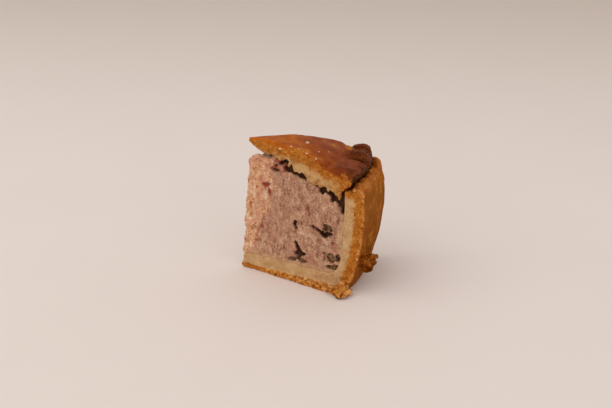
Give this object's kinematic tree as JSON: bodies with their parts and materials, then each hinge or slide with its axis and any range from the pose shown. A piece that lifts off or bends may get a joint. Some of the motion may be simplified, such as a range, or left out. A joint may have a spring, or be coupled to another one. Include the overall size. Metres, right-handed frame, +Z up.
{
  "type": "pork pie",
  "caption": "Cut wedge of raised pork pie: hot-water crust case with a crimped domed lid over a pressed pork filling, resting on its base.",
  "frame": {"origin": "centre of the wedge's box on the surface it rests on, under the base", "axes": "+Z up; +X from the wedge's tip to the raised wall, midway between the two knife cuts; +Y across the wedge, towards the back cut"},
  "size_m": [0.0598, 0.045, 0.0589],
  "materials": {
    "crust": "baked hot-water crust, golden brown outside and cream where it is cut, dry and slightly sheened",
    "glazed_crust": "egg-glazed baked crust, reddish brown, satin",
    "pork": "minced pressed pork, grey-pink, moist satin, with jelly in its holes"
  },
  "bodies": {
    "root": {"pastry_case": "crust", "pastry_lid": "glazed_crust", "pork_filling": "pork"}
  },
  "joints": []
}
